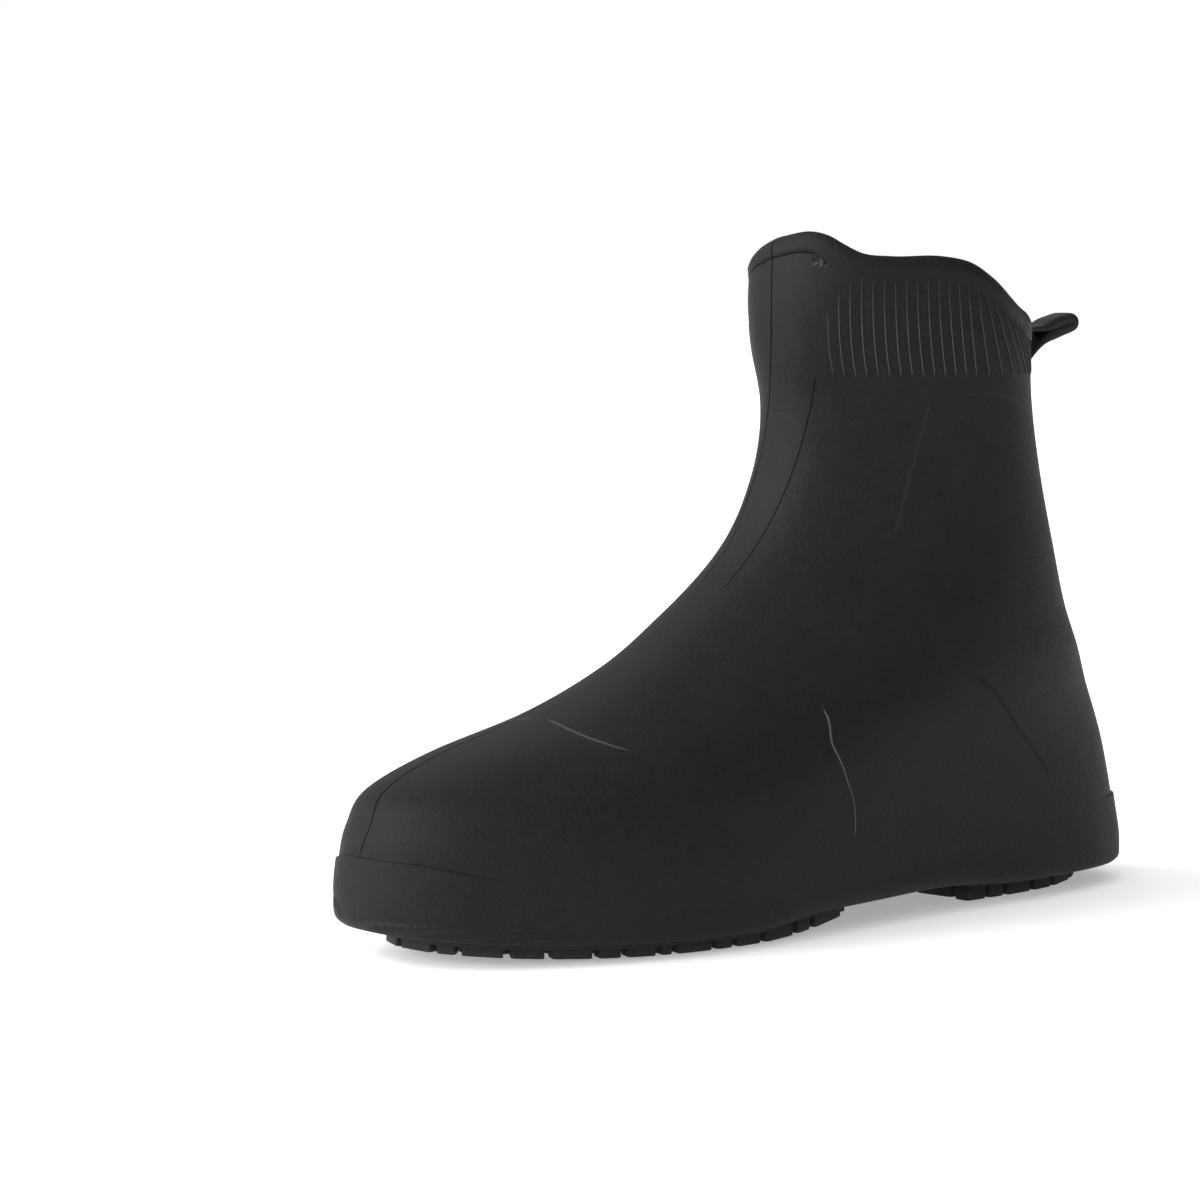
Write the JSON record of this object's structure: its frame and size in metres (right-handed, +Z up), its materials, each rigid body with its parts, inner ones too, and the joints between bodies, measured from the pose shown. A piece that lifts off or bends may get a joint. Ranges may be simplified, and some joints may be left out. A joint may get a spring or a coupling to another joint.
{
  "type": "high moulded rubber overshoe",
  "caption": "Ankle-high pull-on overshoe of black moulded rubber: hollow shell with a ribbed cuff, banded wavy mouth, cleated treads and a pull loop at the back.",
  "frame": {"origin": "on the floor, in the middle of the overshoe's length and width", "axes": "+Z up, -Y towards the toe, +Y towards the heel, +X towards the outer side of a left foot"},
  "size_m": [0.1044, 0.3094, 0.2231],
  "materials": {
    "shell_rubber": "satin matte black moulded rubber with a very fine grain",
    "band_rubber": "satin black rubber, smoother and a little glossier than the shell",
    "tread_rubber": "matte black rubber cleats",
    "loop_rubber": "satin black rubber strap"
  },
  "bodies": {
    "root": {"upper": "shell_rubber", "collar_band": "band_rubber", "outsole_forefoot": "tread_rubber", "outsole_heel": "tread_rubber", "pull_loop": "loop_rubber"}
  },
  "joints": []
}
